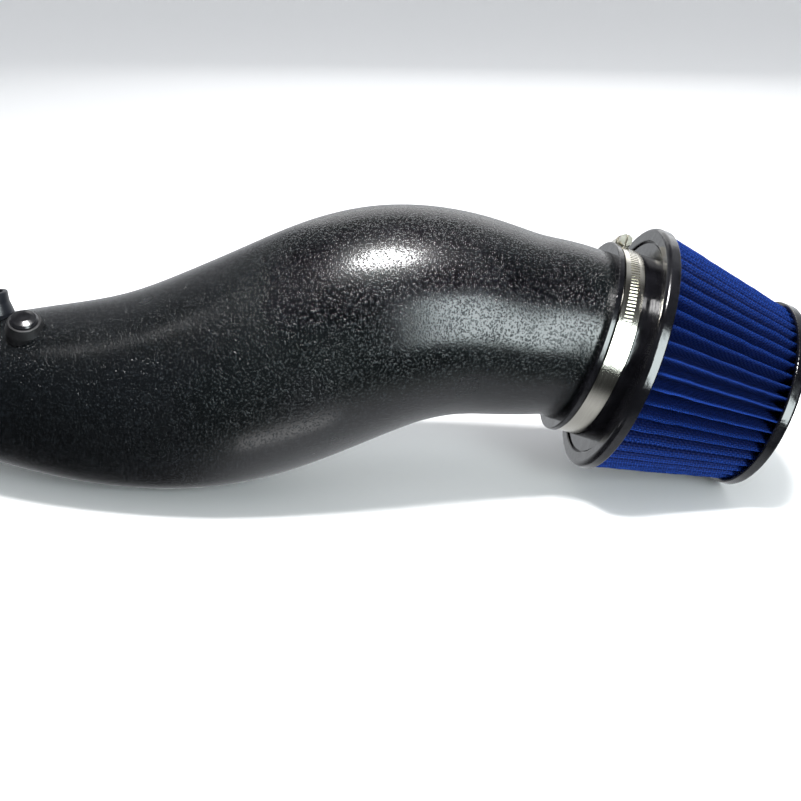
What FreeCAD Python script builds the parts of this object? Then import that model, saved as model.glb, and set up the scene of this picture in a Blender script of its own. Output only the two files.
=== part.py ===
import FreeCAD, Part
import math
import os
import Sketcher

# Cold air intake pipe with a cone air filter clamped to its wide end.
# Millimetres and degrees. +X runs along the pipe towards the filter, +Y to the rear, +Z up.
# The assembly lies on the plane z = 0, as it does on a bench.

doc = FreeCAD.newDocument("cold_air_intake")

# Driving dimensions

SIZES = [
    ("pipe_wall", 3.0, "wall of the blow-moulded pipe"),
    ("spigot_radius", 38.0, "outside of the spigot that takes the throttle hose"),
    ("spigot_length", 34.0, "straight length of that spigot"),
    ("spigot_turn", 40.0, "how far the spigot points to the rear of -X"),
    ("spigot_slope", 6.0, "how far the spigot dips towards its mouth"),
    ("spigot_step", 1.2, "step from the spigot up to the bend behind it"),
    ("root_x", -240.3, "inner end of the spigot"),
    ("root_y", 37.6, "inner end of the spigot"),
    ("root_z", 41.4, "inner end of the spigot"),
    ("lead_in", 10.0, "stretch of a bend that still follows the straight end beside it"),
    ("cuff_radius", 51.0, "outside of the straight end that the filter slides on"),
    ("cuff_length", 23.5, "straight length of that end"),
    ("nipple_angle", 6.0, "seat of the breather nipple, from the crest towards the front"),
    ("nipple_rise", 14.9, "rim of the nipple above its seat"),
    ("nipple_radius", 8.0, "outside of the nipple's tube"),
    ("nipple_bore_radius", 5.3, "inside of the nipple's tube"),
    ("nipple_foot_radius", 9.6, "foot of the nipple, where it sits on the pipe"),
    ("nipple_foot_height", 2.2, "edge of that foot above the seat"),
    ("nipple_flare", 6.5, "height of the flare from the foot to the tube"),
    ("plug_angle", 27.0, "seat of the sensor grommet, from the crest towards the front"),
    ("plug_lean", 22.0, "how far the grommet leans towards the front"),
    ("plug_tip", 15.0, "how far the grommet leans along the pipe, towards the filter"),
    ("grommet_radius", 11.0, "grommet's skirt where it meets the pipe"),
    ("grommet_top_radius", 9.2, "grommet's skirt at its top"),
    ("grommet_height", 7.4, "grommet's top above its seat"),
    ("plug_radius", 7.9, "head of the blanking plug"),
    ("plug_dome", 2.6, "height of the plug's crown"),
    ("plug_edge", 0.9, "straight edge below that crown"),
    ("plug_stem_radius", 4.0, "stem of the blanking plug"),
    ("stem_wall", 2.5, "rubber between a stem and the hole in the pipe"),
    ("bead_step", 1.4, "how far a bead inside the pipe stands past its hole"),
    ("bead_height", 3.0, "length of such a bead along its stem"),
    ("hole_clearance", 0.1, "gap round a stem in the pipe's hole"),
    ("seat_sink", 2.5, "how far the pipe's curve drops under a foot"),
    ("filter_x", 163.5, "pipe-side end of the filter's neck"),
    ("filter_y", -15.5, "pipe-side end of the filter's neck"),
    ("filter_z", 90.6, "pipe-side end of the filter's neck"),
    ("filter_tilt", 19.0, "how far the filter points below +X"),
    ("slip_clearance", 0.2, "gap between the pipe and the filter's neck"),
    ("neck_wall", 3.8, "rubber between the pipe and the clamp's seat"),
    ("lip_step", 2.3, "lip that keeps the clamp on the neck, above its seat"),
    ("lip_width", 3.5, "lip along the neck"),
    ("root_step", 0.9, "neck between the clamp's seat and the flange, above the seat"),
    ("root_width", 5.2, "neck between the clamp's seat and the flange"),
    ("flange_overhang", 1.4, "flange past the pleats"),
    ("flange_thickness", 7.3, "flange at its rim"),
    ("flange_dish", 1.3, "depth of the flat inside the flange's rim"),
    ("rim_width", 8.0, "raised rim of the flange"),
    ("groove_width", 1.3, "groove inside that rim"),
    ("groove_depth", 1.4, "groove below the flange's flat"),
    ("rim_round", 2.6, "rounding of the flange's outer edge"),
    ("pipe_stop", 3.7, "shoulder inside the neck that the pipe's end meets"),
    ("throat_wall", 3.8, "rubber between the throat and the cage's seat"),
    ("media_end_radius", 54.4, "pleats where they enter the end cap"),
    ("media_length", 80.3, "pleats seen between the flange and the end cap"),
    ("pleat_count", 50, "pleats round the cone"),
    ("pleat_depth", 15.0, "pleats at the flange, from ridge to valley"),
    ("sheet_depth", 3.9, "pleated sheet, measured along the radius"),
    ("embed", 2.0, "how far pleats and cage sit in the rubber at each end"),
    ("cage_clearance", 0.3, "gap round the pleats and the cage in their seats"),
    ("cage_wall", 0.8, "metal of the inner cage"),
    ("cage_columns", 24, "windows round the cage"),
    ("window_width", 7.0, "windows of the cage"),
    ("window_height", 14.5, "windows of the cage"),
    ("window_gap", 4.0, "metal between two rows of windows"),
    ("window_start", 12.0, "first row of windows beyond the flange"),
    ("cap_overhang", 2.1, "end cap past the pleats"),
    ("cap_thickness", 6.6, "end cap at its rim"),
    ("cap_dish", 1.8, "depth of the plain recess in the end cap"),
    ("cap_rim", 12.0, "width of the rim round that recess"),
    ("cap_round", 1.8, "rounding of the end cap's outer edge"),
    ("band_width", 11.0, "clamp's band"),
    ("band_thickness", 0.7, "clamp's band"),
    ("band_gap", 0.1, "gap between the band and what it lies on"),
    ("band_ramp", 16.0, "angle over which the band climbs onto itself"),
    ("tail_angle", 82.8, "tip of the band's tail, from the top towards the front"),
    ("slot_end_angle", 67.6, "last slot of the band, from the top towards the front"),
    ("slot_pitch", 2.2, "slots along the band"),
    ("slot_width", 1.0, "slots along the band"),
    ("slot_length", 5.2, "slots across the band"),
    ("slot_skew", 10.0, "lean of the slots, to suit the worm's thread"),
    ("housing_angle", -29.4, "worm housing, from the top towards the front"),
    ("housing_length", 13.0, "worm housing along the band"),
    ("housing_wall", 0.6, "worm housing's sheet"),
    ("worm_radius", 3.6, "worm of the clamp's screw"),
    ("worm_clearance", 0.15, "gap round the worm"),
    ("collar_step", 0.4, "collar past the worm, between it and the head"),
    ("collar_width", 1.3, "collar between the worm and its head"),
    ("hex_width", 7.0, "screw head across its flats"),
    ("hex_height", 4.6, "screw head along the screw"),
    ("driver_width", 1.1, "slot in the screw's head"),
    ("driver_depth", 1.9, "slot in the screw's head"),
]

# Sections of the pipe between its spigot and its cuff: name, x, y, z of the centre, outer radius.
STATIONS = [
    ("bend", -216.0, 18.0, 47.5, 40.5),
    ("nipple", -171.0, -5.3, 53.4, 46.8),
    ("plug", -146.0, -12.0, 54.5, 51.0),
    ("keel", -95.0, -20.0, 57.6, 58.0),
    ("belly", -50.0, -22.5, 66.5, 63.5),
    ("rise", 0.0, -22.0, 85.0, 65.5),
    ("crown", 50.0, -20.0, 103.0, 64.0),
    ("fall", 95.0, -17.5, 104.0, 58.5),
    ("neck", 132.0, -16.0, 97.5, 53.1),
]

sheet = doc.addObject("Spreadsheet::Sheet", "size")


def enter(alias, value, note):
    enter.row += 1
    sheet.set("A%d" % enter.row, note)
    sheet.set("B%d" % enter.row, str(value))
    sheet.setAlias("B%d" % enter.row, alias)


enter.row = 0
for alias, value, note in SIZES:
    enter(alias, value, note)
for name, x, y, z, radius in STATIONS:
    enter(name + "_x", x, "centre of the pipe's section")
    enter(name + "_y", y, "centre of the pipe's section")
    enter(name + "_z", z, "centre of the pipe's section")
    enter(name + "_r", radius, "outer radius of the pipe's section")
doc.recompute()


def value_of(alias):
    return float(sheet.get(alias))


def result_of(expression):
    return float(sheet.evalExpression(expression))


# Frames that the pieces are placed in, written as expressions

TURN_UP = "placement(vector(0; 0; 0); rotation(180; 0; 0))"
FILTER = (
    "placement(vector(size.filter_x; size.filter_y; size.filter_z);"
    " rotation(0; 90 + size.filter_tilt; 0)) * " + TURN_UP
)


def shifted(frame, x="0", y="0", z="0", turn="0; 0; 0"):
    return "%s * placement(vector(%s; %s; %s); rotation(%s))" % (frame, x, y, z, turn)


# Drawing helpers

def origin_part(body, role):
    for feature in body.Origin.OriginFeatures:
        if feature.Role == role:
            return feature
    raise RuntimeError("no origin feature " + role)


def add_sketch(body, name, plane, outlines):
    """A sketch of closed outlines, whose corners are pairs of expressions."""
    sketch = body.newObject("Sketcher::SketchObject", name)
    sketch.AttachmentSupport = [(origin_part(body, plane), "")]
    sketch.MapMode = "FlatFace"
    for outline in outlines:
        first = len(sketch.Geometry)
        count = len(outline)
        start = []
        for k in range(count):
            angle = 2 * math.pi * k / count
            start.append(FreeCAD.Vector(90 + 40 * math.cos(angle), 90 + 40 * math.sin(angle), 0))
        for k in range(count):
            sketch.addGeometry(Part.LineSegment(start[k], start[(k + 1) % count]), False)
        for k in range(count):
            following = first + (k + 1) % count
            sketch.addConstraint(Sketcher.Constraint("Coincident", first + k, 2, following, 1))
        for k, (across, along) in enumerate(outline):
            for kind, axis, text in (("DistanceX", -2, across), ("DistanceY", -1, along)):
                if text == "0":
                    sketch.addConstraint(Sketcher.Constraint("PointOnObject", first + k, 1, axis))
                    continue
                place = start[k].x if kind == "DistanceX" else start[k].y
                index = sketch.addConstraint(
                    Sketcher.Constraint(kind, -1, 1, first + k, 1, place)
                )
                sketch.setExpression("Constraints[%d]" % index, text)
    return sketch


def new_body(name, frame):
    body = doc.addObject("PartDesign::Body", name)
    body.Label = name
    body.setExpression("Placement", frame)
    return body


def revolved(name, frame, outline):
    """A turned or moulded round piece: a section of (radius, height) corners about local Z."""
    body = new_body(name, frame)
    sketch = add_sketch(body, name + "_section", "XZ_Plane", [outline])
    turned = body.newObject("PartDesign::Revolution", name + "_turned")
    turned.Profile = sketch
    turned.ReferenceAxis = (sketch, ["V_Axis"])
    turned.Angle = 360
    doc.recompute()
    return body, sketch, turned


def round_corners(body, sketch, base, corners, radius):
    """Round the circular edges that the sketch's corners sweep."""
    found = []
    for corner in corners:
        point = sketch.Geometry[corner].StartPoint
        for k, edge in enumerate(base.Shape.Edges):
            curve = edge.Curve
            if not isinstance(curve, Part.Circle):
                continue
            if abs(curve.Radius - point.x) < 1e-4 and abs(curve.Center.z - point.y) < 1e-4:
                found.append("Edge%d" % (k + 1))
    if len(found) < len(corners):
        raise RuntimeError("an edge to round is missing on " + body.Name)
    fillet = body.newObject("PartDesign::Fillet", base.Name + "_round%d" % corners[0])
    fillet.Base = (base, found)
    fillet.setExpression("Radius", radius)
    doc.recompute()
    return fillet


def cylinder(name, frame, radius, height):
    solid = doc.addObject("Part::Cylinder", name)
    solid.setExpression("Radius", radius)
    solid.setExpression("Height", height)
    solid.setExpression("Placement", frame)
    return solid


def box(name, frame, length, width, height):
    """A box that is centred on its frame in X and Y and stands on it."""
    solid = doc.addObject("Part::Box", name)
    solid.setExpression("Length", length)
    solid.setExpression("Width", width)
    solid.setExpression("Height", height)
    corner = shifted(frame, "-(%s) / 2" % length, "-(%s) / 2" % width)
    solid.setExpression("Placement", corner)
    return solid


def fuse(name, pieces):
    joined = doc.addObject("Part::MultiFuse", name)
    joined.Shapes = pieces
    return joined


def cut(name, base, tool):
    result = doc.addObject("Part::Cut", name)
    result.Base = base
    result.Tool = tool
    return result


# Intake pipe: one blow-moulded shell, lofted through round sections

def centre(k):
    if k < 0:
        return ("size.root_x", "size.root_y", "size.root_z")
    if k == len(STATIONS):
        return ("size.filter_x", "size.filter_y", "size.filter_z")
    name = STATIONS[k][0]
    return ("size.%s_x" % name, "size.%s_y" % name, "size.%s_z" % name)


def section_frame(k):
    """The section's centre, with local Z along the line between its two neighbours."""
    before = centre(k - 1)
    after = centre(k + 1)
    run = ["(%s - %s)" % (b, a) for a, b in zip(before, after)]
    yaw = "atan2(%s; %s)" % (run[1], run[0])
    rise = "atan2(%s; sqrt(%s^2 + %s^2))" % (run[2], run[0], run[1])
    return "placement(vector(%s; %s; %s); rotation(%s; 90 deg - %s; 0))" % (*centre(k), yaw, rise)


ROOT = (
    "placement(vector(size.root_x; size.root_y; size.root_z);"
    " rotation(-size.spigot_turn; 90 - size.spigot_slope; 0))"
)
ROOT_RADIUS = "(size.spigot_radius + size.spigot_step)"


def section(name, frame, radius):
    circle = doc.addObject("Part::Circle", name)
    circle.setExpression("Radius", radius)
    circle.setExpression("Placement", frame)
    return circle


def duct(name, inset):
    """The pipe's outside, or its inside when the inset is the wall."""
    frames = [ROOT, shifted(ROOT, z="size.lead_in")]
    radii = [ROOT_RADIUS, ROOT_RADIUS]
    for k in range(len(STATIONS)):
        frames.append(section_frame(k))
        radii.append("size.%s_r" % STATIONS[k][0])
    frames.append(shifted(FILTER, z="-size.lead_in"))
    radii.append("size.cuff_radius")
    frames.append(shifted(FILTER))
    radii.append("size.cuff_radius")
    sections = []
    for k, (frame, radius) in enumerate(zip(frames, radii)):
        sections.append(section("%s_section_%02d" % (name, k), frame, "%s - %s" % (radius, inset)))
    loft = doc.addObject("Part::Loft", name + "_bends")
    loft.Sections = sections
    loft.Solid = True
    loft.Ruled = False
    past = "0" if inset == "0" else "size.pipe_wall"
    spigot = cylinder(
        name + "_spigot",
        shifted(ROOT, z="-size.spigot_length - %s" % past),
        "size.spigot_radius - %s" % inset,
        "size.spigot_length + %s" % past,
    )
    cuff = cylinder(
        name + "_cuff",
        shifted(FILTER),
        "size.cuff_radius - %s" % inset,
        "size.cuff_length + %s" % past,
    )
    return fuse(name, [loft, spigot, cuff])


def seat_frame(station, angle, lean, tip):
    """A place on the pipe's skin at one section, with local Z pointing out of it."""
    names = [row[0] for row in STATIONS]
    radius = "size.%s_r" % station
    return shifted(
        section_frame(names.index(station)),
        "-%s * cos(%s)" % (radius, angle),
        "-%s * sin(%s)" % (radius, angle),
        turn="%s; %s - 90; 0" % (lean, tip),
    )


NIPPLE_SEAT = seat_frame("nipple", "size.nipple_angle", "0", "0")
PLUG_SEAT = seat_frame("plug", "size.plug_angle", "size.plug_lean", "size.plug_tip")
STEM_DEPTH = "(size.pipe_wall + size.seat_sink + size.bead_height)"
NIPPLE_HOLE = "(size.nipple_bore_radius + size.stem_wall)"
PLUG_HOLE = "(size.plug_stem_radius + size.stem_wall)"

skin = duct("outside", "0")
hollow = duct("inside", "size.pipe_wall")
nipple_hole = cylinder(
    "nipple_hole",
    shifted(NIPPLE_SEAT, z="-" + STEM_DEPTH),
    NIPPLE_HOLE + " + size.hole_clearance",
    "2 * " + STEM_DEPTH,
)
plug_hole = cylinder(
    "plug_hole",
    shifted(PLUG_SEAT, z="-" + STEM_DEPTH),
    PLUG_HOLE + " + size.hole_clearance",
    "2 * " + STEM_DEPTH,
)
intake_pipe = cut("intake_pipe", skin, fuse("pipe_openings", [hollow, nipple_hole, plug_hole]))
intake_pipe.Label = "intake_pipe"
doc.recompute()


# Fittings that stand in the pipe's wall. Each is moulded round. Its foot then follows the pipe's
# skin, and below that only a stem is left, with a bead behind the hole.

def seated(name, frame, hole, outline, rounded, radius):
    blank, sketch, turned = revolved(name + "_blank", frame, outline)
    round_corners(blank, sketch, turned, rounded, radius)
    room = cylinder(
        name + "_room",
        shifted(frame, z="-2 * " + STEM_DEPTH),
        hole + " + size.bead_step",
        "4 * " + STEM_DEPTH,
    )
    footed = cut(name + "_footed", blank, cut(name + "_ground", skin, room))
    piece = cut(name, footed, intake_pipe)
    piece.Label = name
    doc.recompute()
    return piece


breather_nipple = seated(
    "breather_nipple",
    NIPPLE_SEAT,
    NIPPLE_HOLE,
    [
        ("size.nipple_bore_radius", "-" + STEM_DEPTH),
        ("size.nipple_foot_radius", "-" + STEM_DEPTH),
        ("size.nipple_foot_radius", "size.nipple_foot_height"),
        ("size.nipple_radius", "size.nipple_foot_height + size.nipple_flare"),
        ("size.nipple_radius", "size.nipple_rise"),
        ("size.nipple_bore_radius", "size.nipple_rise"),
    ],
    [4, 5],
    "0.3 * (size.nipple_radius - size.nipple_bore_radius)",
)
sensor_grommet = seated(
    "sensor_grommet",
    PLUG_SEAT,
    PLUG_HOLE,
    [
        ("size.plug_stem_radius", "-" + STEM_DEPTH),
        ("size.grommet_radius", "-" + STEM_DEPTH),
        ("size.grommet_radius", "0.3 * size.grommet_height"),
        ("size.grommet_top_radius", "size.grommet_height"),
        ("size.plug_stem_radius", "size.grommet_height"),
    ],
    [3],
    "0.1 * size.grommet_height",
)

sensor_plug, plug_sketch, plug_turned = revolved(
    "sensor_plug",
    PLUG_SEAT,
    [
        ("0", "-" + STEM_DEPTH),
        ("size.plug_stem_radius - size.hole_clearance", "-" + STEM_DEPTH),
        ("size.plug_stem_radius - size.hole_clearance", "size.grommet_height"),
        ("size.plug_radius", "size.grommet_height"),
        ("size.plug_radius", "size.grommet_height + size.plug_edge"),
        ("0.86 * size.plug_radius", "size.grommet_height + size.plug_edge + 0.5 * size.plug_dome"),
        ("0.5 * size.plug_radius", "size.grommet_height + size.plug_edge + 0.9 * size.plug_dome"),
        ("0", "size.grommet_height + size.plug_edge + size.plug_dome"),
    ],
)
round_corners(sensor_plug, plug_sketch, plug_turned, [4], "0.3 * size.plug_edge")


# Filter: rubber neck and flange, pleated cone, inner cage and end cap.
# Local Z runs along the cone from the neck's lip, local X points up.

SHOE = "(size.band_width + 2 * size.worm_clearance + 2 * size.housing_wall)"
SEAT_START = "(size.lip_width)"
SEAT_END = "(size.lip_width + %s + 2 * size.worm_clearance)" % SHOE
FACE = "(%s + size.root_width)" % SEAT_END
BACK = "(%s + size.flange_thickness)" % FACE
CAP_FACE = "(%s + size.media_length)" % BACK
BORE = "(size.cuff_radius + size.slip_clearance)"
STOP = "(size.cuff_length + size.slip_clearance / 2)"
THROAT = "(size.cuff_radius - size.pipe_stop)"
SEAT = "(%s + size.neck_wall)" % BORE
LIP = "(%s + size.lip_step)" % SEAT
NECK = "(%s + size.root_step)" % SEAT
SEAT_INNER = "(%s + size.throat_wall)" % THROAT
CAGE_RADIUS = "(%s + size.cage_wall + 2 * size.cage_clearance)" % SEAT_INNER
MEDIA = "(%s + size.cage_clearance + size.sheet_depth + size.pleat_depth)" % CAGE_RADIUS
TAPER = "((%s - size.media_end_radius) / size.media_length)" % MEDIA
SHRINK = "(size.media_end_radius / %s)" % MEDIA
SEAT_OUTER = "(%s + %s * size.embed + size.cage_clearance / 2)" % (MEDIA, TAPER)
FLANGE = "(%s + size.flange_overhang)" % MEDIA
RIM_INNER = "(%s - size.rim_width)" % FLANGE

filter_base, base_sketch, base_turned = revolved(
    "filter_base",
    FILTER,
    [
        (BORE, "0"),
        (LIP, "0"),
        (LIP, SEAT_START),
        (SEAT, SEAT_START),
        (SEAT, SEAT_END),
        (NECK, SEAT_END),
        (NECK, FACE + " + size.flange_dish"),
        (RIM_INNER + " - size.groove_width", FACE + " + size.flange_dish"),
        (RIM_INNER + " - size.groove_width", FACE + " + size.flange_dish + size.groove_depth"),
        (RIM_INNER, FACE + " + size.flange_dish + size.groove_depth"),
        (RIM_INNER, FACE),
        (FLANGE, FACE),
        (FLANGE, BACK),
        (SEAT_OUTER, BACK),
        (SEAT_OUTER, BACK + " - size.embed"),
        (SEAT_INNER, BACK + " - size.embed"),
        (SEAT_INNER, BACK),
        (THROAT, BACK),
        (THROAT, STOP),
        (BORE, STOP),
    ],
)
base_rim = round_corners(filter_base, base_sketch, base_turned, [11], "size.rim_round")
round_corners(filter_base, base_sketch, base_rim, [1, 2, 10, 12], "size.rim_round / 4")

CAP_SEAT_INNER = "(%s * %s - size.cage_wall - 2 * size.cage_clearance)" % (SHRINK, CAGE_RADIUS)
CAP_END = "(%s + size.cap_thickness)" % CAP_FACE
CAP_RADIUS = "(size.media_end_radius + size.cap_overhang)"
CAP_RECESS = "(%s - size.cap_rim)" % CAP_RADIUS

filter_end_cap, cap_sketch, cap_turned = revolved(
    "filter_end_cap",
    FILTER,
    [
        ("0", CAP_FACE),
        (CAP_SEAT_INNER, CAP_FACE),
        (CAP_SEAT_INNER, CAP_FACE + " + size.embed"),
        ("size.media_end_radius + size.cage_clearance / 2", CAP_FACE + " + size.embed"),
        ("size.media_end_radius + size.cage_clearance / 2", CAP_FACE),
        (CAP_RADIUS, CAP_FACE),
        (CAP_RADIUS, CAP_END),
        (CAP_RECESS, CAP_END),
        (CAP_RECESS + " - size.cap_dish", CAP_END + " - size.cap_dish"),
        ("0", CAP_END + " - size.cap_dish"),
    ],
)
cap_rim = round_corners(filter_end_cap, cap_sketch, cap_turned, [6], "size.cap_round")
round_corners(filter_end_cap, cap_sketch, cap_rim, [5], "size.cap_round / 3")

INNER_START = "(%s - size.embed)" % BACK
INNER_END = "(%s + size.embed)" % CAP_FACE
CAGE_FOOT = "(%s + %s * size.embed)" % (CAGE_RADIUS, TAPER)
CAGE_TOP = "(%s * %s - %s * size.embed)" % (SHRINK, CAGE_RADIUS, TAPER)

inner_cage, cage_sketch, cage_turned = revolved(
    "inner_cage",
    FILTER,
    [
        (CAGE_FOOT + " - size.cage_wall", INNER_START),
        (CAGE_FOOT, INNER_START),
        (CAGE_TOP, INNER_END),
        (CAGE_TOP + " - size.cage_wall", INNER_END),
    ],
)
window_step = value_of("window_height") + value_of("window_gap")
rows = int((value_of("media_length") - value_of("window_start")) // window_step)
windows = []
for row in range(rows):
    low = "%s + size.window_start + %d * (size.window_height + size.window_gap)" % (BACK, row)
    high = low + " + size.window_height"
    left = "-size.window_width / 2"
    right = "size.window_width / 2"
    windows.append([(left, low), (right, low), (right, high), (left, high)])
window_sketch = add_sketch(inner_cage, "cage_windows", "YZ_Plane", windows)
window_cut = inner_cage.newObject("PartDesign::Pocket", "cage_window_cut")
window_cut.Profile = window_sketch
window_cut.Type = "ThroughAll"
window_cut.Reversed = True
doc.recompute()
whole_cage = cage_turned.Shape.Volume
if window_cut.Shape.Volume > whole_cage - 1:
    raise RuntimeError("the cage's windows cut nothing")
window_ring = inner_cage.newObject("PartDesign::PolarPattern", "cage_window_ring")
window_ring.Originals = [window_cut]
window_ring.Axis = (origin_part(inner_cage, "Z_Axis"), [""])
window_ring.Angle = 360
window_ring.setExpression("Occurrences", "size.cage_columns")
inner_cage.Tip = window_ring
doc.recompute()


# Pleated cone: a star-shaped sheet that shrinks evenly towards the end cap

def star(radius, depth, count, height):
    points = []
    for k in range(2 * count):
        reach = radius - depth * (k % 2)
        angle = math.pi * k / count
        points.append(FreeCAD.Vector(reach * math.cos(angle), reach * math.sin(angle), height))
    points.append(points[0])
    return Part.makePolygon(points)


def pleated_cone():
    ridge = result_of(MEDIA)
    taper = result_of(TAPER)
    foot = ridge + taper * value_of("embed")
    top = value_of("media_end_radius") - taper * value_of("embed")
    height_of_cone = value_of("media_length") + 2 * value_of("embed")
    count = int(value_of("pleat_count"))
    depth = value_of("pleat_depth")
    sheets = []
    for inset in (0.0, value_of("sheet_depth")):
        ends = []
        for radius, height in ((foot, 0.0), (top, height_of_cone)):
            share = radius / foot
            ends.append(star(radius - inset * share, depth * share, count, height))
        sheets.append(Part.makeLoft(ends, True, True))
    return sheets[0].cut(sheets[1])


filter_media = doc.addObject("Part::Feature", "filter_media")
filter_media.Label = "filter_media"
filter_media.Shape = pleated_cone()
filter_media.setExpression("Placement", shifted(FILTER, z=INNER_START))


# Worm-drive clamp on the neck: one strip of band that laps over itself, housing and screw.
# Angles run from the top of the neck towards the front.

BAND_MIDDLE = "((%s + %s) / 2)" % (SEAT_START, SEAT_END)
BAND_INNER = "(%s + size.band_gap)" % SEAT
BAND_OUTER = "(%s + size.band_gap + 2 * size.band_thickness)" % BAND_INNER


def on_circle(radius, angle):
    turn = math.radians(angle)
    return FreeCAD.Vector(radius * math.cos(turn), radius * math.sin(turn), 0)


def strip_side(radius, step, start, ramp, tail):
    """One face of the band: round the neck, up the ramp and along the tail."""
    around = Part.Arc(
        on_circle(radius, start),
        on_circle(radius, start + 180),
        on_circle(radius, start + 360 - ramp),
    )
    climb = Part.Arc(
        on_circle(radius, start + 360 - ramp),
        on_circle(radius + step / 2, start + 360 - ramp / 2),
        on_circle(radius + step, start + 360),
    )
    lap = Part.Arc(
        on_circle(radius + step, start + 360),
        on_circle(radius + step, (start + 360 + tail + 360) / 2),
        on_circle(radius + step, tail + 360),
    )
    return [around.toShape(), climb.toShape(), lap.toShape()]


def clamp_strip():
    thickness = value_of("band_thickness")
    inner = result_of(BAND_INNER)
    step = thickness + value_of("band_gap")
    half_housing = math.degrees(value_of("housing_length") / 2 / inner)
    start = value_of("housing_angle") - half_housing
    ramp = value_of("band_ramp")
    tail = value_of("tail_angle")
    near = strip_side(inner, step, start, ramp, tail)
    far = strip_side(inner + thickness, step, start, ramp, tail)
    tip = Part.LineSegment(
        on_circle(inner + step, tail),
        on_circle(inner + step + thickness, tail),
    ).toShape()
    heel = Part.LineSegment(on_circle(inner, start), on_circle(inner + thickness, start)).toShape()
    outline = Part.Wire(Part.__sortEdges__(near + [tip] + far + [heel]))
    strip = Part.Face(outline).extrude(FreeCAD.Vector(0, 0, value_of("band_width")))
    strip.translate(FreeCAD.Vector(0, 0, -value_of("band_width") / 2))
    return strip.cut(Part.Compound(band_slots(inner + step, thickness)))


def band_slots(radius, thickness):
    """Skewed slots through the tail alone, from its tip side back under the housing."""
    gap = value_of("band_gap") / 2
    width = value_of("slot_width")
    length = value_of("slot_length")
    pitch_angle = math.degrees(value_of("slot_pitch") / radius)
    last = value_of("slot_end_angle")
    count = int((last - value_of("housing_angle")) / pitch_angle)
    slots = []
    for k in range(count):
        slot = Part.makeBox(thickness + 2 * gap, width, length)
        slot.translate(FreeCAD.Vector(radius - gap, -width / 2, -length / 2))
        slot.rotate(FreeCAD.Vector(), FreeCAD.Vector(1, 0, 0), value_of("slot_skew"))
        slot.rotate(FreeCAD.Vector(), FreeCAD.Vector(0, 0, 1), last - k * pitch_angle)
        slots.append(slot)
    return slots


clamp_band = doc.addObject("Part::Feature", "clamp_band")
clamp_band.Label = "clamp_band"
clamp_band.Shape = clamp_strip()
clamp_band.setExpression("Placement", shifted(FILTER, z=BAND_MIDDLE))

# The housing's own frame: local Z out of the neck, local X along the screw, local Y along the neck
WORM_AXIS = "(%s + size.worm_radius + size.worm_clearance)" % BAND_OUTER
HOUSING = shifted(
    shifted(FILTER, z=BAND_MIDDLE, turn="size.housing_angle; 0; 0"),
    turn="0; 90; 0",
) + " * placement(vector(0; 0; 0); rotation(90; 0; 0))"
TUNNEL = "(size.worm_radius + size.worm_clearance)"
SHELL = "(%s + size.housing_wall)" % TUNNEL


def along_screw(name, radius, start, length):
    frame = shifted(HOUSING, x=start, z=WORM_AXIS, turn="0; 90; 0")
    return cylinder(name, frame, radius, length)


shoe = box(
    "housing_shoe",
    shifted(HOUSING, z=BAND_INNER),
    "size.housing_length",
    SHOE,
    "%s - %s + 2 * size.housing_wall" % (BAND_OUTER, BAND_INNER),
)
walls = box(
    "housing_walls",
    shifted(HOUSING, z=BAND_OUTER),
    "size.housing_length",
    "2 * " + SHELL,
    "%s - %s" % (WORM_AXIS, BAND_OUTER),
)
arch = along_screw("housing_arch", SHELL, "-size.housing_length / 2", "size.housing_length")
channel = box(
    "band_channel",
    shifted(HOUSING, z="%s - 2 * size.band_thickness" % BAND_INNER),
    "2 * size.housing_length",
    "size.band_width + 2 * size.worm_clearance",
    "%s - %s + 2 * size.band_thickness + size.worm_clearance" % (BAND_OUTER, BAND_INNER),
)
tunnel_foot = box(
    "tunnel_foot",
    shifted(HOUSING, z=BAND_OUTER),
    "2 * size.housing_length",
    "2 * " + TUNNEL,
    "%s - %s" % (WORM_AXIS, BAND_OUTER),
)
tunnel = along_screw("worm_tunnel", TUNNEL, "-size.housing_length", "2 * size.housing_length")
clamp_housing = cut(
    "clamp_housing",
    fuse("housing_outside", [shoe, walls, arch]),
    fuse("housing_inside", [channel, tunnel_foot, tunnel]),
)
clamp_housing.Label = "clamp_housing"

# The screw's head stands clear of the housing's rear end
COLLAR_START = "(size.housing_length / 2 + size.worm_clearance)"
HEX_START = "(%s + size.collar_width)" % COLLAR_START
worm = along_screw(
    "worm", "size.worm_radius", "-size.housing_length / 2 + size.housing_wall",
    "size.housing_length + size.worm_clearance",
)
collar = along_screw("collar", "size.worm_radius + size.collar_step", COLLAR_START, "size.collar_width")
hexagon = doc.addObject("Part::Prism", "screw_hexagon")
hexagon.Polygon = 6
hexagon.setExpression("Circumradius", "size.hex_width / 2 / cos(30)")
hexagon.setExpression("Height", "size.hex_height")
hexagon.setExpression(
    "Placement", shifted(HOUSING, x=HEX_START, z=WORM_AXIS, turn="0; 90; 0")
)
driver_slot = box(
    "driver_slot",
    shifted(
        HOUSING,
        x=HEX_START + " + size.hex_height - size.driver_depth",
        z=WORM_AXIS,
        turn="0; 90; 0",
    ),
    "2 * size.hex_width",
    "size.driver_width",
    "2 * size.driver_depth",
)
clamp_screw = cut("clamp_screw", fuse("screw_blank", [worm, collar, hexagon]), driver_slot)
clamp_screw.Label = "clamp_screw"

# Check every feature, then write one file for each piece

doc.recompute()
for item in doc.Objects:
    if "Invalid" in item.State or "Error" in item.State:
        raise RuntimeError("%s did not build: %s" % (item.Name, item.State))

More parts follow.
